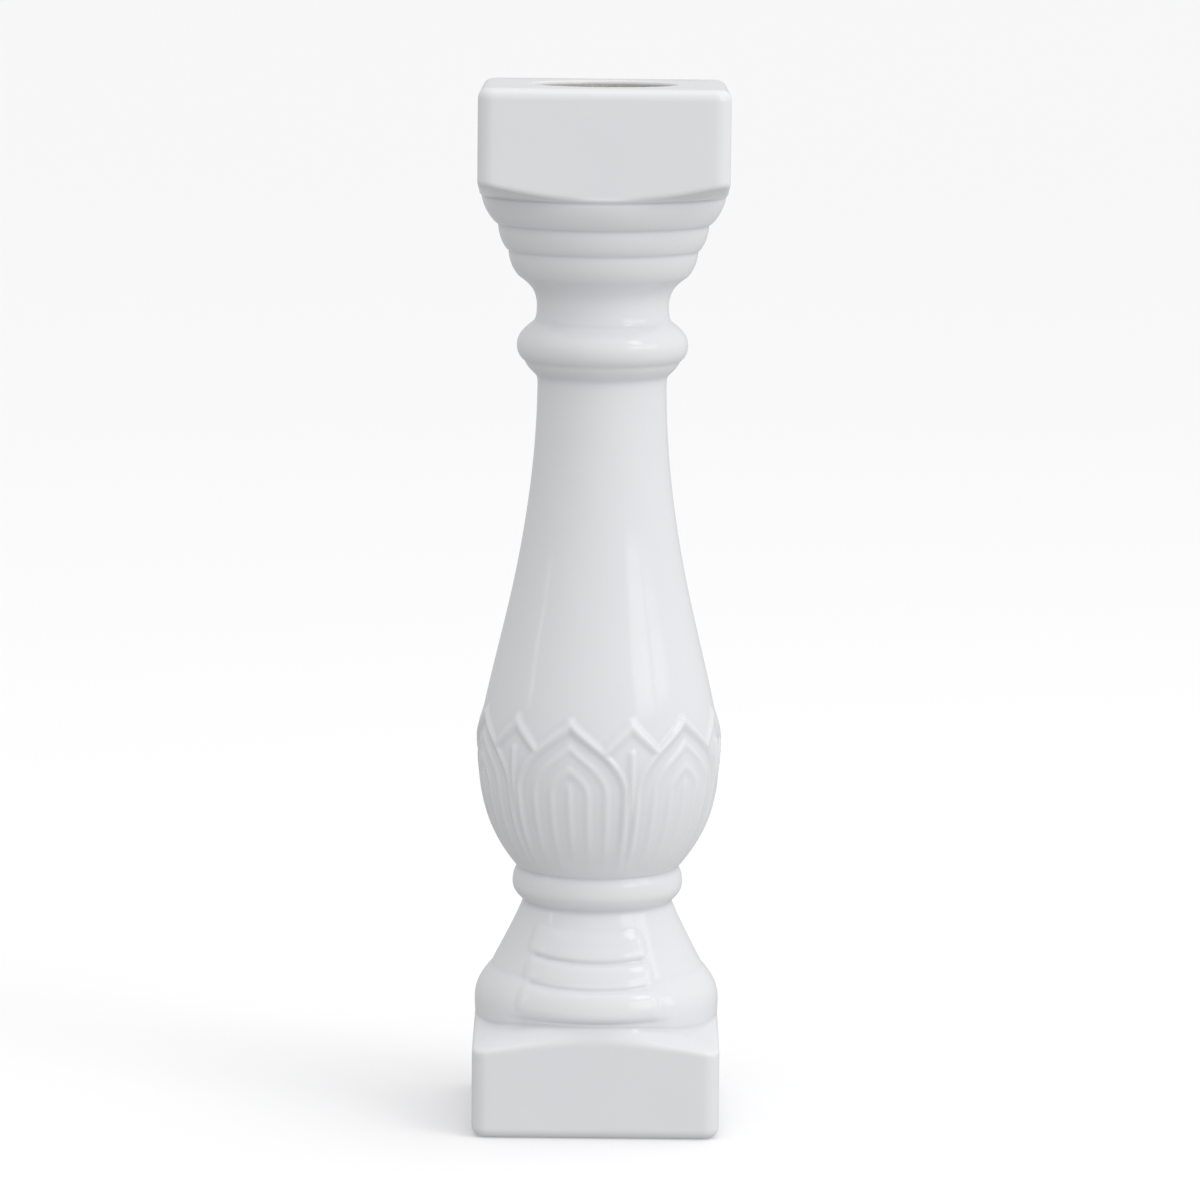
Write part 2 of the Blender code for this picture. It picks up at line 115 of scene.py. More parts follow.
def turned_line():
    """Radius and height of every row along the mouldings."""
    points = []
    for _, *curve in MOULDINGS:
        corners = [Vector((r, z, 0)) for r, z in curve]
        steps = max(3, round((corners[3] - corners[0]).length / row_spacing(corners[3].y)))
        points += [(p.x, p.y) for p in interpolate_bezier(*corners, steps + 1)[:-1]]
    return points + [MOULDINGS[-1][-1]]


LINE = np.array(turned_line())
print(len(LINE), "rows")

# %% [markdown]
# ## Lotus petals
# Pointed petals stand round the belly. Each has a rounded ridge along its outline, two more
# ridges that repeat it inside and a rib up the middle, and the tips of a row behind show between
# them. They could be sculpted or displaced with a picture. A formula is used here: how far a
# point lies from each ridge line gives the height there, so every petal is alike and crisp.

# %% Give the petals their sizes
PETALS = 6
PETAL_PITCH = math.pi / PETALS  # from a petal's middle to the middle of the one behind
PETAL_TURN = math.radians(-14)
PETAL_TIP = 203.4
PETAL_SPRING = 168.6  # where the sides start to lean in to the tip
PETAL_FOOT = 125.3
PETAL_FADE = 32.0  # the relief fades in over this height
PETAL_SINK = 0.35  # the face inside the outline lies this deep
RIDGE_WIDTH = 4.6
ARCHES = ((0.90, 0.0, 1.1), (0.60, 11.0, 0.7), (0.30, 22.0, 0.65), (0.0, 31.0, 0.65))
print(PETALS, "petals,", len(ARCHES), "ridge lines on each as (spread, drop, height)")

# %% Give the tips and the row behind their sizes
TIP_HEIGHT = 0.5  # the outline's ridge is this much higher at the tip
TIP_WIDENING = 2.4  # and this much wider
TIP_REACH = (20.0, 4.0)  # both come in between these depths below the tip
REAR_SPREAD = 0.74
REAR_HEIGHT = 1.3
REAR_RIB_DROP = 14.0
REAR_FADE = (PETAL_SPRING - 16, PETAL_SPRING + 6)
INSIDE_EASE = 1.6
print("tips at", PETAL_TIP, "mm")


# %% Follow a petal's outline
def smooth(value, low, high):
    """Ease from 0 at low to 1 at high."""
    share = np.clip((value - low) / (high - low), 0.0, 1.0)
    return share * share * (3 - 2 * share)


def near_tip(z, tip):
    """0 well below a petal's tip and 1 close under it."""
    return smooth(z, tip - TIP_REACH[0], tip - TIP_REACH[1])


def petal_edge(z, tip, spread):
    """Angle from a petal's middle to its outline at a height."""
    share = np.clip((tip - z) / (tip - PETAL_SPRING), 0.0, 1.0)
    return spread * (np.sin(share * math.pi / 2) - 0.8 * share * (1 - share) ** 6)


edge_degrees = math.degrees(petal_edge(PETAL_SPRING, PETAL_TIP, ARCHES[0][0] * PETAL_PITCH))
print("a petal spreads", round(edge_degrees, 1), "degrees to each side")


# %% Raise one ridge along an outline
def ridge(offset, z, radius, tip, spread, widening=0.0):
    """The rounded ridge along one outline at height z, 1 on its crest and 0 beside it."""
    step = 0.5
    lean = (petal_edge(z - step, tip, spread) - petal_edge(z, tip, spread)) / step
    across = (offset - petal_edge(z, tip, spread)) * radius
    beside = np.abs(across) / np.hypot(1, lean * radius)
    from_tip = np.hypot(offset * radius, z - tip)
    if z > tip:
        distance = from_tip
    else:
        distance = beside if z < tip - TIP_REACH[1] else np.minimum(beside, from_tip)
    share = np.clip(2 * distance / (RIDGE_WIDTH + widening * near_tip(z, tip)), 0, 1)
    return (1 - share * share) ** 2


crest = ridge(np.array([0.0]), PETAL_TIP, 55.0, PETAL_TIP, ARCHES[0][0] * PETAL_PITCH)
print("the ridge is", float(crest[0]), "of its height at the tip")


# %% Put the petals together
def front_ridges(offset, z, radius):
    """The highest of a front petal's ridges at each offset from its middle."""
    highest = np.zeros_like(offset)
    for spread, drop, height in ARCHES:
        outer = drop == 0
        height += TIP_HEIGHT * outer * near_tip(z, PETAL_TIP)
        line = ridge(offset, z, radius, PETAL_TIP - drop, spread * PETAL_PITCH,
                     TIP_WIDENING * outer)
        highest = np.maximum(highest, height * line)
    return highest


def petal_relief(angle, z, radius):
    """How far the petals stand out from the turned belly."""
    offset = np.abs((angle - PETAL_TURN + PETAL_PITCH) % (2 * PETAL_PITCH) - PETAL_PITCH)
    outline = petal_edge(z, PETAL_TIP, ARCHES[0][0] * PETAL_PITCH)
    inside = smooth((outline - offset) * radius, 0.0, INSIDE_EASE) * (z < PETAL_TIP)
    rear_offset = PETAL_PITCH - offset
    rear = ridge(rear_offset, z, radius, PETAL_TIP, REAR_SPREAD * PETAL_PITCH, TIP_WIDENING)
    rear = np.maximum(rear, ridge(rear_offset, z, radius, PETAL_TIP - REAR_RIB_DROP, 0.0))
    behind = REAR_HEIGHT * (1 - inside) * smooth(z, *REAR_FADE)
    relief = np.maximum(front_ridges(offset, z, radius), rear * behind) - PETAL_SINK * inside
    return relief * smooth(z, PETAL_FOOT, PETAL_FOOT + PETAL_FADE)


around = np.linspace(0, 2 * math.pi, 720)
print("petals stand out", round(float(petal_relief(around, 195.0, 58.0).max()), 2), "mm")

# %% [markdown]
# ## Bands on the flared base
# Three moulded bands lie on the front and back of the base, with rounded ends, and the sides
# are smooth. They could be separate strips laid on the flare, but cast ones melt into it. Each
# is a rounded rectangle bent round the flare: the distance in from its edge gives a pillow. A
# narrow groove parts each band from the next.

# %% Give the bands their sizes
BANDS = (
    {"low": 84.0, "high": 98.4, "middle": -8.0, "half": 41.0},
    {"low": 71.9, "high": 84.0, "middle": -6.0, "half": 39.0},
    {"low": 56.9, "high": 71.9, "middle": -5.0, "half": 37.0},
)
BAND_RISE = 0.95
BAND_ROUND = 5.0  # the pillow's soft edge is this wide
BAND_CORNER = 4.5
BAND_LIFT = 1.8  # the bands' ends lie this much higher, LIFT_TURN degrees round
LIFT_TURN = 40.0
BAND_GROOVE = 0.9
GROOVE_WIDTH = 1.1
GROOVE_FADE = 7.0
print(len(BANDS), "bands on the front and as many on the back")


# %% Raise the bands
def band_turn(angle, middle):
    """Degrees round from the middle of the front or the back, whichever is nearer."""
    return (np.degrees(angle) - middle + 90) % 180 - 90


def band_relief(angle, z, radius):
    """How far the bands stand out from the smooth flare."""
    lifted = z - BAND_LIFT * (band_turn(angle, 0) / LIFT_TURN) ** 2
    relief = np.zeros_like(angle)
    for band in BANDS:
        turn = band_turn(angle, band["middle"])
        middle = (band["low"] + band["high"]) / 2
        sideways = np.radians(np.abs(turn) - band["half"]) * radius + BAND_CORNER
        up = np.abs(lifted - middle) - (band["high"] - middle) + BAND_CORNER
        beyond = np.hypot(np.maximum(sideways, 0), np.maximum(up, 0))
        depth = BAND_CORNER - beyond - np.minimum(np.maximum(sideways, up), 0)
        relief += BAND_RISE * (1 - (1 - np.clip(depth / BAND_ROUND, 0, 1)) ** 2)
        if band is not BANDS[0]:
            inside = 1 - smooth(np.abs(turn), band["half"] - GROOVE_FADE, band["half"])
            groove = np.exp(-((lifted - band["high"]) / GROOVE_WIDTH) ** 2)
            relief -= BAND_GROOVE * inside * groove
    return relief


print("bands stand out", round(float(band_relief(around, 78.0, 50.0).max()), 2), "mm")

# %% [markdown]
# ## The shelf under the bands
# The plinth's top is a narrow shelf. On the real post the lowest band sits in a shallow hollow
# over it, and the shelf climbs a little to meet the band. A second mesh could be cut away there.
# It is easier to move the rows: in towards the axis, and up, only where the bands are.

# %% Move the rows under the bands
PATCH_HALF = 38.0  # degrees from the bands' middle to their ends
HOLLOW_FADE = 7.0
SHELF_FADE = 24.0
SHELF_HOLLOW = 1.8
SHELF_RISE = 4.2
SHELF_TOP = 57.7
PATCH_SINK = 0.8
HOLLOW_TOP = (56.4, 58.8)
BED_TOP = (62.0, 78.0)


def over_patch(angle, fade):
    """1 over the bands and 0 beside them, eased over the given degrees."""
    turn = np.abs(band_turn(angle, BANDS[2]["middle"]))
    return 1 - smooth(turn, PATCH_HALF - fade, PATCH_HALF + fade)


def hollow_under_bands(angle, z):
    """The bands lie in a shallow hollow, which is deepest in the groove under the lowest."""
    above = smooth(z, *HOLLOW_TOP)
    bed = PATCH_SINK * above * (1 - smooth(z, *BED_TOP))
    return -(SHELF_HOLLOW * (1 - above) + bed) * over_patch(angle, HOLLOW_FADE)


def shoulder_height(angle, z):
    """Height of a row of the shoulder, whose foot stands higher under the bands."""
    share = np.clip((SHELF_TOP - z) / (SHELF_TOP - LINE[0][1]), 0.0, 1.0)
    return z + SHELF_RISE * share * over_patch(angle, SHELF_FADE)


print("hollow", SHELF_HOLLOW, "mm deep, shelf", SHELF_RISE, "mm higher")

# %% [markdown]
# ## Square blocks
# The cap and the plinth are square with rounded corners. A square could be a cube with a bevel,
# but then it would have to be joined to the turned part. Here it is one more outline: a distance
# from the axis for each direction, so square and round rows stitch into one skin.

# %% Measure the square block from its axis
FLAT_STEPS = 15
CORNER_STEPS = 10
LEAST_CORNER = 0.5


def block_radius(angle, inset=0.0):
    """Distance from the axis to the block's face in each direction, moved in by inset."""
    half = HALF - inset
    corner = max(CORNER_RADIUS - inset, LEAST_CORNER)
    turn = np.abs((angle + math.pi / 4) % (math.pi / 2) - math.pi / 4)
    middle = half - corner
    ahead = middle * (np.cos(turn) + np.sin(turn))
    rest = np.maximum(ahead * ahead - 2 * middle * middle + corner * corner, 0)
    return np.where(half * np.tan(turn) <= middle, half / np.cos(turn), ahead + np.sqrt(rest))


def block_directions():
    """Directions round the block, closer together on its rounded corners."""
    corner = math.atan2(HALF - CORNER_RADIUS, HALF)
    flat = np.linspace(0, corner, FLAT_STEPS, endpoint=False)
    bend = np.linspace(corner, math.pi / 2 - corner, CORNER_STEPS, endpoint=False)
    last = np.linspace(math.pi / 2 - corner, math.pi / 2, FLAT_STEPS, endpoint=False)
    quarter = np.concatenate((flat, bend, last))
    return np.concatenate([quarter + k * math.pi / 2 for k in range(4)])


def round_directions(steps):
    """Even directions all the way round."""
    return np.arange(steps) * 2 * math.pi / steps


BLOCK = block_directions()
FINE = round_directions(324)
INSIDE = round_directions(96)
print(len(BLOCK), "directions on the blocks,", len(FINE), "on the carving")

# %% [markdown]
# ## One closed skin
# On the real post the outside, the top and the hollow are one wall. A lathe modifier could turn
# the round part, but not the square blocks. So the skin is made of rows, which run from the
# mouth in the underside up the outside, over the top, in at the top mouth and down the hollow.
# Every row is a set of directions with a radius and a height for each.


# %% Make one row, and rows along a curve
def row(directions, radius, z, clay=False):
    """One row of the skin, with its radius and height in each direction."""
    full = np.ones_like(directions)
    return {"turn": directions, "r": radius * full, "z": z * full, "clay": clay}


def along(start, end, distance):
    """The point at a distance from start on the straight line to end."""
    gap = end[0] - start[0], end[1] - start[1]
    length = np.maximum(np.hypot(*gap), 0.01)
    return start[0] + gap[0] / length * distance, start[1] + gap[1] / length * distance


def bezier_rows(start, start_handle, end_handle, end, steps):
    """Rows between two outlines, with handles, each given as (radius, height)."""
    rows = []
    for t in np.linspace(0, 1, steps + 1)[:-1]:
        weights = ((1 - t) ** 3, 3 * t * (1 - t) ** 2, 3 * t * t * (1 - t), t ** 3)
        r, z = (sum(w * p[k] for w, p in zip(weights, (start, start_handle, end_handle, end)))
                for k in range(2))
        rows.append(row(BLOCK, r, z))
    return rows


print("a row on the block has", len(row(BLOCK, HALF, 0.0)["r"]), "points")


# %% Round the blocks' edges
def rounded_end(z_end, direction, steps):
    """Rows round the soft edge between a flat end and the block's face."""
    rows = []
    for turn in np.linspace(math.pi / 2, 0, steps):
        inset = EDGE_RADIUS * (1 - math.cos(turn))
        height = z_end + direction * EDGE_RADIUS * (1 - math.sin(turn))
        rows.append(row(BLOCK, block_radius(BLOCK, inset), height))
    return rows


def face_edge(z_middle, slope):
    """Height of the edge where the turned form cuts the block's flat face."""
    return z_middle + slope * (block_radius(BLOCK) - HALF)


corner_rise = float(np.ptp(face_edge(0.0, CAP_SLOPE)))
print("the cap's arc rises", round(corner_rise, 1), "mm from middle to corner")

# %% Make the rows of the plinth
UNDERSIDE_RINGS = (MOUTH_RADIUS + 2.0, 44.0)
FACE_SHARES = (0.0, 0.33, 0.66, 0.97, 1.0)
FACE_GAP = 0.6  # the flat face ends this far below its soft upper edge
EDGE_HANDLE = 1.6
SHELF_HANDLE = 0.3  # share of the shelf's width
SHELF_SAG = 0.06


def shelf_rows(face_top):
    """Round the faces' soft upper edge and in over the shelf to the foot of the shoulder."""
    foot_z = shoulder_height(BLOCK, LINE[0][1])
    foot = LINE[0][0] + hollow_under_bands(BLOCK, foot_z), foot_z
    low = face_top[0], face_top[1] - EDGE_SETBACK
    high = along(face_top, foot, EDGE_SETBACK)
    rows = bezier_rows(low, along(low, face_top, EDGE_HANDLE),
                       along(high, face_top, EDGE_HANDLE), high, 6)
    wide = np.maximum(face_top[0] - foot[0], 0.0)
    near = along(foot, high, SHELF_HANDLE * wide)
    far = along(high, foot, SHELF_HANDLE * wide)
    return rows + bezier_rows(high, far, (near[0], near[1] - SHELF_SAG * wide), foot, 9)


def plinth_rows():
    """From the underside's rim up the faces and over the shelf to the shoulder."""
    rows = [row(BLOCK, r, 0.0, clay=True) for r in UNDERSIDE_RINGS]
    foot = rounded_end(0.0, 1, 7)
    foot[0]["clay"] = True
    face, top = block_radius(BLOCK), face_edge(PLINTH_FACE, -PLINTH_SLOPE)
    tall = top - EDGE_SETBACK - FACE_GAP - FACE_START
    rows += foot + [row(BLOCK, face, FACE_START + tall * share) for share in FACE_SHARES]
    return rows + shelf_rows((face, top))


PLINTH = plinth_rows()
print(len(PLINTH), "rows on the plinth")


# %% Make the turned and carved rows
BANDS_END = 104.0
PETALS_END = PETAL_TIP + 6


def turned_rows():
    """Rows from the shoulder up to the cap, with bands and petals where they lie."""
    rows = []
    for radius, z in LINE:
        if z < BANDS_END:
            heights = shoulder_height(FINE, z)
            lift = band_relief(FINE, heights, radius) + hollow_under_bands(FINE, heights)
            rows.append(row(FINE, radius + lift, heights))
        elif PETAL_FOOT < z < PETALS_END:
            rows.append(row(FINE, radius + petal_relief(FINE, z, radius), z))
        else:
            rows.append(row(BLOCK, radius, z))
    return rows


TURNED = turned_rows()
print(len(TURNED), "rows on the turned part")


# %% Make the rows of the cap
CAP_FACE_SHARES = (0.0, 0.02, 0.35, 0.7, 1.0)
TOP_RINGS = (14.0, 7.0, 2.4)  # rows in over the flat top, outside the mouth
RIM_TURNS = (90, 60, 30, 0)


def cap_edge_rows(face, bottom):
    """From the quirk under the cap out and round the lower edge of its faces."""
    edge, quirk = (face, bottom), (LINE[-1][0] + 0 * face, LINE[-1][1] + 0 * face)
    wide = np.maximum(face - quirk[0], 0.0)
    low = along(edge, quirk, np.minimum(EDGE_SETBACK, 0.7 * wide))
    high = face, bottom + EDGE_SETBACK
    rows = bezier_rows(quirk, (quirk[0] + 0.3 * wide, quirk[1] + 0.03 * wide),
                       along(low, quirk, 0.25 * wide), low, 8)[1:]
    handle = 0.6 * EDGE_SETBACK
    return rows + bezier_rows(low, along(low, edge, handle), along(high, edge, handle), high, 6)


def cap_rows():
    """From the quirk out to the cap's faces, up them and in over the top."""
    face, bottom = block_radius(BLOCK), face_edge(CAP_FACE, CAP_SLOPE)
    rows = cap_edge_rows(face, bottom)
    low, high = bottom + EDGE_SETBACK, HEIGHT - FACE_START
    rows += [row(BLOCK, face, low + (high - low) * share) for share in CAP_FACE_SHARES]
    rows += rounded_end(HEIGHT, -1, 8)[::-1]
    rows += [row(BLOCK, MOUTH_RADIUS + out, HEIGHT) for out in TOP_RINGS]
    for turn in np.radians(RIM_TURNS):
        over = MOUTH_RADIUS + RIM_RADIUS * (1 - math.cos(turn))
        rows.append(row(BLOCK, over, HEIGHT - RIM_RADIUS * (1 - math.sin(turn))))
    return rows


CAP = cap_rows()
print(len(CAP), "rows on the cap")

# %% [markdown]
# The hollow follows the outside at the wall's thickness, because the clay sets evenly against
# the mould. It could be an offset of the skin, but the fine carving doesn't come through, so a
# simpler line of its own is both truer and lighter.

# %% Write the hollow's line, as radius and height, and its square ends, as inset and height
HOLLOW = (
    (49.0, 457.0), (46.0, 449.0), (42.2, 440.4), (37.0, 428.0), (31.8, 417.5), (25.6, 408.0),
    (23.3, 400.0), (23.1, 393.5), (23.3, 384.0), (22.6, 372.0), (22.4, 361.0), (22.8, 340.0),
    (24.0, 322.0), (26.2, 303.0), (29.2, 285.0), (33.0, 267.0), (37.4, 249.0), (42.0, 231.0),
    (46.0, 214.0), (49.0, 198.0), (50.2, 182.0), (49.0, 166.0), (45.6, 152.0), (40.0, 141.0),
    (34.2, 134.0), (31.0, 127.0), (30.6, 120.0), (28.4, 112.0), (27.7, 106.0), (30.4, 98.0),
    (36.0, 87.0), (42.6, 76.0), (48.4, 66.0), (50.8, 58.0),
)
CAP_HOLLOW = ((6.0, 499.0), (1.8, 497.2), (0.0, 493.0), (0.0, 466.0))
PLINTH_HOLLOW = ((0.0, 38.4), (0.0, 15.0), (1.8, 10.8), (6.0, 9.0))
print("the hollow is", 2 * min(HOLLOW)[0], "mm wide at its narrowest")


# %% Make the rows of the hollow
def square_rows(line):
    """Bare rows inside a block, from pairs of inset and height."""
    return [row(INSIDE, block_radius(INSIDE, WALL + inset), z, clay=True) for inset, z in line]


def round_rows(line):
    """Bare rows from pairs of radius and height."""
    return [row(INSIDE, r, z, clay=True) for r, z in line]


# The bare clay starts just under the mouth's rim, so the hollow seen through the mouth is a
# darker cream: partly the bare inside, partly painted shade.
top_mouth = ((MOUTH_RADIUS, HEIGHT - RIM_RADIUS - 0.4), (MOUTH_RADIUS, HEIGHT - WALL))
low_mouth = ((MOUTH_RADIUS, WALL), (MOUTH_RADIUS, 2.0), (MOUTH_RADIUS + 0.6, 0.6))
CAVITY = round_rows(top_mouth) + square_rows(CAP_HOLLOW) + round_rows(HOLLOW)
CAVITY += square_rows(PLINTH_HOLLOW) + round_rows(low_mouth)
print(len(CAVITY), "rows in the hollow")

# %% [markdown]
# ## Stitching
# The rows need faces between them. A remesh could wrap them, but would blur the carving. Two
# rows with as many points make four-sided faces. Where the rows differ in number, as between a
# block and the carving, triangles are laid by walking round both at once.


# %% Stitch two rows
def stitch(low, high, low_start, high_start):
    """Faces between two rows whose vertices start at the given numbers."""
    count = len(low), len(high)
    if count[0] == count[1]:
        return [(low_start + i, low_start + (i + 1) % count[0],
                 high_start + (i + 1) % count[1], high_start + i) for i in range(count[0])]
    faces, i, j = [], 0, 0
    while i < count[0] or j < count[1]:
        next_low = low[i + 1] if i + 1 < count[0] else 2 * math.pi
        next_high = high[j + 1] if j + 1 < count[1] else 2 * math.pi
        here_low, here_high = low_start + i % count[0], high_start + j % count[1]
        if j >= count[1] or (i < count[0] and next_low <= next_high):
            faces.append((here_low, low_start + (i + 1) % count[0], here_high))
            i += 1
        else:
            faces.append((here_low, high_start + (j + 1) % count[1], here_high))
            j += 1
    return faces


print(len(stitch(BLOCK, FINE, 0, len(BLOCK))), "triangles between a block and the carving")

# %% Give the cast face its slight unevenness
WAVER_INSET = 0.07  # keeps the waves inside the solid's box
FLAT_FOOT = 4.0  # nothing wavers below this height, so that the foot stands flat


def waver(angle, z):
    """The unevenness of a cast and fired face, a tenth of a millimetre or so."""
    slow = np.sin(3 * angle + 0.021 * z) + np.sin(5 * angle - 0.034 * z + 1.3)
    return 0.03 * slow + 0.02 * np.sin(8 * angle + 0.11 * z)


print("the face wavers by", round(float(np.ptp(waver(around, 250.0))), 2), "mm")


# %% Put the skin together
def skin(rows):
    """Vertices, faces and a bare-clay mark for each face of the closed skin."""
    points, starts = [], []
    for line in rows:
        starts.append(sum(len(p) for p in points))
        uneven = waver(line["turn"], line["z"]) - WAVER_INSET
        radius = line["r"] + np.where(line["z"] > FLAT_FOOT, uneven, 0)
        x, y = radius * np.sin(line["turn"]), -radius * np.cos(line["turn"])
        points.append(np.stack((x, y, line["z"]), axis=1) * MM)
    faces, clay = [], []
    for k in range(len(rows)):
        n = (k + 1) % len(rows)
        new = stitch(rows[k]["turn"], rows[n]["turn"], starts[k], starts[n])
        faces += new
        clay += [rows[k]["clay"] and rows[n]["clay"]] * len(new)
    return np.concatenate(points), faces, clay


verts, faces, clay = skin(PLINTH + TURNED + CAP + CAVITY)
data = bpy.data.meshes.new("baluster_skin")
data.from_pydata(verts.tolist(), [], faces)
data.validate()
data.shade_smooth()
baluster = bpy.data.objects.new("glazed_baluster", data)
bpy.context.scene.collection.objects.link(baluster)
print(len(verts), "points,", sum(len(f) - 2 for f in faces), "triangles")

# %% [markdown]
# ## Where the glaze is thick and thin, and where light is painted
# Melted glaze runs off sharp crests and gathers in grooves. The same masks also carry painted
# light: shade painted into the grooves and a highlight painted along the crests. Cycles has a
# pointiness value for this, but it doesn't leave Blender with the model. How much a point stands
# above or below its neighbours says the same, so that is measured once on the mesh and kept with
# its points.

# %% Measure crests and grooves on the mesh
EVENING_ROUNDS = 4
FULL_BEND = 110.0  # per metre: the bend at which a groove gets its full pooled glaze and painted shade, and a crest its full thin glaze and painted highlight


def bend_of_surface(mesh):
    """Above zero in grooves and below zero on crests, evened out over the neighbours."""
    count = len(mesh.vertices)
    place, normal = np.empty(count * 3), np.empty(count * 3)
    mesh.vertices.foreach_get("co", place)
    mesh.vertices.foreach_get("normal", normal)
    place, normal = place.reshape(-1, 3), normal.reshape(-1, 3)
    edges = np.empty(len(mesh.edges) * 2, np.int32)
    mesh.edges.foreach_get("vertices", edges)
    a, b = edges.reshape(-1, 2).T
    gap = place[b] - place[a]
    length2 = np.maximum((gap * gap).sum(axis=1), 1e-9)
    rise_a = (gap * normal[a]).sum(axis=1) / length2
    rise_b = -(gap * normal[b]).sum(axis=1) / length2
    share = np.bincount(a, minlength=count) + np.bincount(b, minlength=count)
    value = (np.bincount(a, rise_a, count) + np.bincount(b, rise_b, count)) / share
    for _ in range(EVENING_ROUNDS):
        beside = np.bincount(a, value[b], count) + np.bincount(b, value[a], count)
        value = 0.4 * value + 0.6 * beside / share
    return value


bend = bend_of_surface(data)
# Two masks: pooled glaze and painted shade in the grooves, and thin glaze with a painted
# highlight on the crests.
for name, amount in (("pooled_glaze_and_painted_shade", bend), ("thin_glaze_and_painted_highlight", -bend)):
    layer = data.attributes.new(name, "FLOAT", "POINT")
    layer.data.foreach_set("value", np.clip(amount / FULL_BEND, 0, 1).astype(np.float32))
print("deepest groove", round(float(bend.max())), "and sharpest crest", round(float(-bend.min())))

# %% [markdown]
# ## Shared effects
# Both the glaze and the bare clay have small iron specks from the kiln, and both keep a little
# unevenness from the mould. The nodes could be copied from one material to the other, but then
# they would drift apart. Each effect is a node group with named inputs, built once.


# %% Add nodes and groups with less typing
def add_node(tree, kind, inputs=None, **settings):
    """A new node with its settings. Each input is a plain value or another node's output."""
    node = tree.nodes.new(kind)
    for name, value in settings.items():
        setattr(node, name, value)
    for key, value in (inputs or {}).items():
        if isinstance(value, bpy.types.NodeSocket):
            tree.links.new(value, node.inputs[key])
        else:
            node.inputs[key].default_value = value
    return node


def new_group(name, inputs, output):
    """An empty shader node group with its sockets, and its input and output nodes."""
    group = bpy.data.node_groups.new(name, "ShaderNodeTree")
    for label, value in inputs:
        socket = group.interface.new_socket(label, in_out="INPUT", socket_type="NodeSocketFloat")
        socket.default_value = value
    group.interface.new_socket(output, in_out="OUTPUT", socket_type="NodeSocketFloat")
    return group, add_node(group, "NodeGroupInput"), add_node(group, "NodeGroupOutput")


print("node groups so far:", len(bpy.data.node_groups))


# %% Build the kiln specks
def kiln_specks():
    """Fine dark specks: 1 in a speck, 0 elsewhere."""
    group, given, made = new_group(
        "Kiln specks", (("Per metre", 300.0), ("Size", 0.06), ("Share", 0.12)), "Specks")
    place = add_node(group, "ShaderNodeTexCoord").outputs["Object"]
    cells = add_node(group, "ShaderNodeTexVoronoi",
                     {"Vector": place, "Scale": given.outputs["Per metre"]})
    near = add_node(group, "ShaderNodeMapRange", {
        "Value": cells.outputs["Distance"], "From Max": given.outputs["Size"],
        "To Min": 1.0, "To Max": 0.0})
    split = add_node(group, "ShaderNodeSeparateColor", {"Color": cells.outputs["Color"]})
    chosen = add_node(group, "ShaderNodeMath",
                      {0: split.outputs["Red"], 1: given.outputs["Share"]}, operation="LESS_THAN")
    both = add_node(group, "ShaderNodeMath",
                    {0: near.outputs["Result"], 1: chosen.outputs["Value"]}, operation="MULTIPLY")
    group.links.new(both.outputs["Value"], made.inputs["Specks"])
    return group


SPECKS = kiln_specks()
print("group:", SPECKS.name)


# %% Build the mould's unevenness
def mould_unevenness():
    """A height from slow waves and a fine skin, for a Bump node."""
    group, given, made = new_group(
        "Mould unevenness", (("Wave", 1.0), ("Skin", 0.3), ("Skin per metre", 700.0)), "Height")
    place = add_node(group, "ShaderNodeTexCoord").outputs["Object"]
    wave = add_node(group, "ShaderNodeTexNoise", {"Vector": place, "Scale": 26.0, "Detail": 1.0})
    fine = add_node(group, "ShaderNodeTexNoise", {
        "Vector": place, "Scale": given.outputs["Skin per metre"], "Detail": 2.0})
    slow = add_node(group, "ShaderNodeMath",
                    {0: wave.outputs["Fac"], 1: given.outputs["Wave"]}, operation="MULTIPLY")
    total = add_node(group, "ShaderNodeMath", {
        0: fine.outputs["Fac"], 1: given.outputs["Skin"], 2: slow.outputs["Value"]},
        operation="MULTIPLY_ADD")
    group.links.new(total.outputs["Value"], made.inputs["Height"])
    return group


UNEVEN = mould_unevenness()
print("group:", UNEVEN.name)

# %% [markdown]
# ## The materials
# The glaze is a smooth glass over white clay. It could be a mirror-like coat over a matt base,
# but one glossy layer with a faint colour change does it: greyer in the grooves, where the glaze
# pools and where shade is also painted in, and lighter and a little warmer on the crests, where
# the glaze thins and a highlight is also painted on. The bare clay is matt and cream. Both start
# from the same clouding, specks and unevenness, each with its own values.


# %% Make what the glaze and the clay share
def mix_colour(tree, factor, base, colour, strength):
    """Blend a colour over base by a mask, at the given strength."""
    scaled = add_node(tree, "ShaderNodeMath", {0: factor, 1: strength}, operation="MULTIPLY")
    mix = add_node(tree, "ShaderNodeMix", {
        "Factor": scaled.outputs["Value"], "B": (*colour, 1),
        "A": (*base, 1) if isinstance(base, tuple) else base}, data_type="RGBA")
    return mix.outputs["Result"]


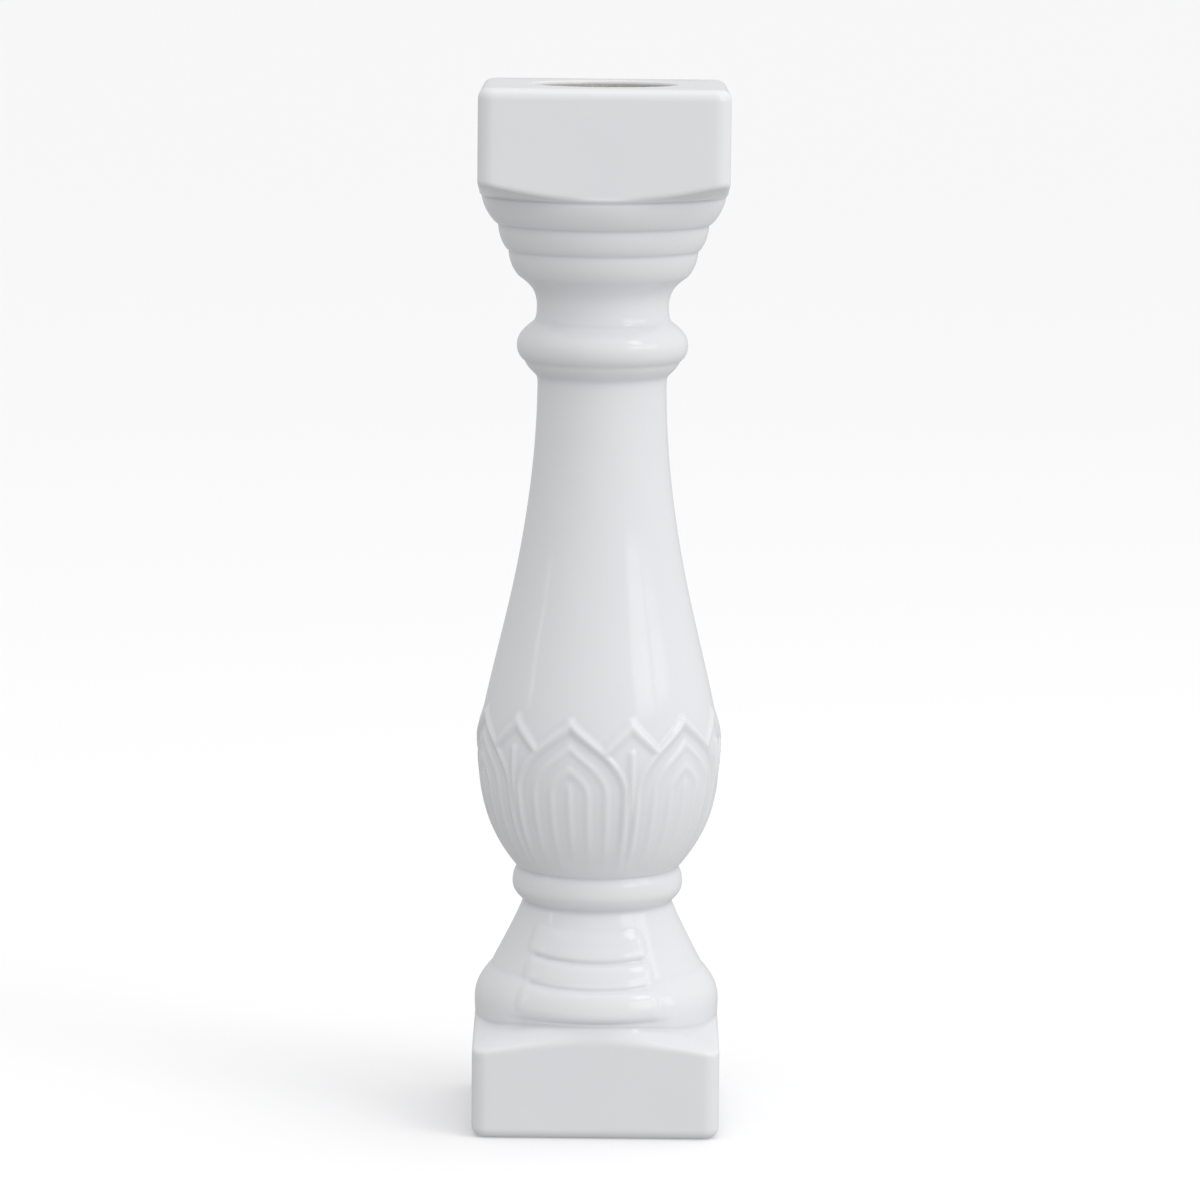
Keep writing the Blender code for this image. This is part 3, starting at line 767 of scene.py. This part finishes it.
def ceramic(name, body, cloud, speck, rough, uneven, bump):
    """A ceramic surface with clouding, specks, unevenness and a range of roughness."""
    material = bpy.data.materials.new(name)
    material.use_nodes = True
    tree = material.node_tree
    shader = tree.nodes["Principled BSDF"]
    place = add_node(tree, "ShaderNodeTexCoord").outputs["Object"]
    clouds = add_node(tree, "ShaderNodeTexNoise", {"Vector": place, "Scale": 14.0, "Detail": 3.0})
    colour = mix_colour(tree, clouds.outputs["Fac"], body, cloud, 0.5)
    specks = add_node(tree, "ShaderNodeGroup", speck, node_tree=SPECKS)
    height = add_node(tree, "ShaderNodeGroup", uneven, node_tree=UNEVEN)
    wear = add_node(tree, "ShaderNodeMapRange", {
        "Value": clouds.outputs["Fac"], "To Min": rough[0], "To Max": rough[1]})
    bumps = add_node(tree, "ShaderNodeBump",
                     {"Distance": bump, "Height": height.outputs["Height"]})
    tree.links.new(wear.outputs["Result"], shader.inputs["Roughness"])
    tree.links.new(bumps.outputs["Normal"], shader.inputs["Normal"])
    return material, shader, colour, specks


print("shared by two materials:", SPECKS.name, "and", UNEVEN.name)


# %% Make the white glaze
def glaze_material():
    """White glaze: glossy, greyer in grooves from pooling and painted shade, lighter and warmer
    on crests from thin glaze and a painted highlight.
    """
    material, shader, colour, specks = ceramic(
        "White glaze", body=(0.745, 0.752, 0.765), cloud=(0.765, 0.77, 0.78),
        speck={"Per metre": 260.0, "Size": 0.045, "Share": 0.05}, rough=(0.10, 0.17),
        uneven={"Wave": 1.0, "Skin": 0.02, "Skin per metre": 400.0}, bump=0.0005)
    tree = material.node_tree
    # Painted light: the grey groove tint is painted shade as well as pooled glaze, and the light
    # crest tint is a painted highlight as well as thin glaze.
    for label, tint, strength in (("pooled_glaze_and_painted_shade", (0.60, 0.615, 0.645), 0.6),
                                  ("thin_glaze_and_painted_highlight", (0.84, 0.84, 0.83), 0.3)):
        layer = add_node(tree, "ShaderNodeAttribute", attribute_name=label)
        colour = mix_colour(tree, layer.outputs["Fac"], colour, tint, strength)
    colour = mix_colour(tree, specks.outputs["Specks"], colour, (0.42, 0.38, 0.33), 0.35)
    tree.links.new(colour, shader.inputs["Base Color"])
    shader.inputs["IOR"].default_value = 1.5
    return material


data.materials.append(glaze_material())
print("made", data.materials[0].name)


# %% Make the bare clay and give each face its material
def clay_material():
    """Bare fired clay: matt, cream and a little gritty."""
    material, shader, colour, specks = ceramic(
        "Bare fired clay", body=(0.66, 0.63, 0.59), cloud=(0.57, 0.54, 0.50),
        speck={"Per metre": 420.0, "Size": 0.09, "Share": 0.2}, rough=(0.75, 0.92),
        uneven={"Wave": 0.6, "Skin": 0.8, "Skin per metre": 1500.0}, bump=0.0006)
    tree = material.node_tree
    colour = mix_colour(tree, specks.outputs["Specks"], colour, (0.30, 0.24, 0.18), 0.5)
    tree.links.new(colour, shader.inputs["Base Color"])
    return material


data.materials.append(clay_material())
marks = np.array(clay, dtype=np.int32)
data.polygons.foreach_set("material_index", marks)
print(int(marks.sum()), "bare faces of", len(marks))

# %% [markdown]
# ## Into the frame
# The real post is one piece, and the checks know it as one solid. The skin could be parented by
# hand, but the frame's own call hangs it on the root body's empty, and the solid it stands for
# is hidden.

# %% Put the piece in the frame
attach(baluster, "root")
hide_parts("baluster")
print("piece", baluster.name, "replaces baluster")

# %% [markdown]
# ## The floor
# The post stands on a wide pale floor that reaches past the picture. A white floor would throw
# light up under every moulding, as a light table does, and the real undersides are dark. So
# bounced and mirrored rays pass through it: it shows, and takes the shadow, but lights nothing.


# %% Lay the floor
def floor_material():
    """Plain pale floor with a trace of clouding."""
    material = bpy.data.materials.new("Pale floor")
    material.use_nodes = True
    tree = material.node_tree
    shader = tree.nodes["Principled BSDF"]
    noise = add_node(tree, "ShaderNodeTexNoise", {"Scale": 2.0})
    colour = mix_colour(tree, noise.outputs["Fac"], (0.97, 0.97, 0.97), (0.95, 0.95, 0.95), 1.0)
    tree.links.new(colour, shader.inputs["Base Color"])
    shader.inputs["Roughness"].default_value = 0.9
    shader.inputs["Specular IOR Level"].default_value = 0.0
    return material


FLOOR_RADIUS = 30
floor_data = bpy.data.meshes.new("floor")
turns = [math.tau * i / 64 for i in range(64)]
ring = [(FLOOR_RADIUS * math.cos(t), FLOOR_RADIUS * math.sin(t), -0.0002) for t in turns]
floor_data.from_pydata(ring, [], [tuple(range(64))])
floor_data.materials.append(floor_material())
floor = bpy.data.objects.new("floor", floor_data)
bpy.context.scene.collection.objects.link(floor)
floor.visible_diffuse = False
floor.visible_glossy = False
print("floor", 2 * FLOOR_RADIUS, "m across")

# %% [markdown]
# ## The lights
# The post was lit by a room with a tall window to the right. One big soft light would give the
# shading, but not the two upright streaks that the glossy belly mirrors. So two panels stand for
# the window's panes, one for its top, a thin one for a door on the left and one for the ceiling.

# %% Hang the lights
PANELS = (  # name, degrees round, degrees up, metres away, width and height, watts
    ("window_pane_near", 48, 21, 2.4, (0.88, 0.80), 3.6),
    ("window_pane_far", 71, 21, 2.4, (0.72, 0.80), 2.6),
    ("window_top", 57, 46, 2.4, (0.50, 0.75), 3.4),
    ("door_gap", -76, 18, 2.4, (0.10, 0.70), 0.5),
    ("ceiling", 20, 84, 2.6, (1.3, 1.3), 3.0),
)
POST_MIDDLE = Vector((0, 0, 0.25))


def panel(name, azimuth, elevation, distance, size, power):
    """A soft rectangular light that faces the post, placed by its direction."""
    light = bpy.data.lights.new(name, "AREA")
    light.shape = "RECTANGLE"
    light.size, light.size_y = size
    light.energy = power
    lamp = bpy.data.objects.new(name, light)
    a, e = math.radians(azimuth), math.radians(elevation)
    away = Vector((math.sin(a) * math.cos(e), -math.cos(a) * math.cos(e), math.sin(e)))
    lamp.location = POST_MIDDLE + away * distance
    lamp.rotation_mode = "QUATERNION"
    lamp.rotation_quaternion = away.to_track_quat("Z", "Y")
    bpy.context.scene.collection.objects.link(lamp)


for values in PANELS:
    panel(*values)
print(len(PANELS), "soft panels")

# %% [markdown]
# The rest of the room's light comes from all round. One flat grey would do for a start, but the
# real room is brighter to the right, to the front and above. The strength follows the direction
# in a straight line: a middle value, and a slope along each axis.

# %% Fill the room with soft light
ROOM = 0.765
ROOM_SLOPES = (("X", 0.18), ("Y", -0.10), ("Z", 0.33))

world = bpy.data.worlds.new("Studio")
world.use_nodes = True
bpy.context.scene.world = world
tree = world.node_tree
place = add_node(tree, "ShaderNodeTexCoord").outputs["Generated"]
axes = add_node(tree, "ShaderNodeSeparateXYZ", {"Vector": place})
strength = ROOM
for axis, slope in ROOM_SLOPES:
    step = add_node(tree, "ShaderNodeMath", {0: axes.outputs[axis], 1: slope, 2: strength},
                    operation="MULTIPLY_ADD")
    strength = step.outputs["Value"]
background = tree.nodes["Background"]
tree.links.new(strength, background.inputs["Strength"])
background.inputs["Color"].default_value = (0.99, 0.99, 1.0, 1)
print("room light", ROOM, "with slopes", ROOM_SLOPES)

# %% [markdown]
# ## The camera
# The photograph looks slightly down on the post from a few steps away. A wide lens close by
# would splay the cap, so a long lens is used from the distance that gives the same arcs on the
# cap and the plinth. The small roll is the photographer's.

# %% Set the camera
DISTANCE = 2.604
CAMERA_HEIGHT = 0.626
AIM_HEIGHT = 0.256
LENS = 161.1
ROLL = math.radians(0.55)

camera_data = bpy.data.cameras.new("camera")
camera_data.lens = LENS
camera_data.sensor_width = 36.0
camera = bpy.data.objects.new("camera", camera_data)
camera.location = (0, -DISTANCE, CAMERA_HEIGHT)
look = Vector((0, 0, AIM_HEIGHT)) - camera.location
camera.rotation_mode = "QUATERNION"
camera.rotation_quaternion = look.to_track_quat("-Z", "Y") @ Quaternion((0, 0, 1), ROLL)
bpy.context.scene.collection.objects.link(camera)
bpy.context.scene.camera = camera
bpy.context.scene.view_settings.view_transform = "Standard"
print("camera", round(look.length, 3), "m away")
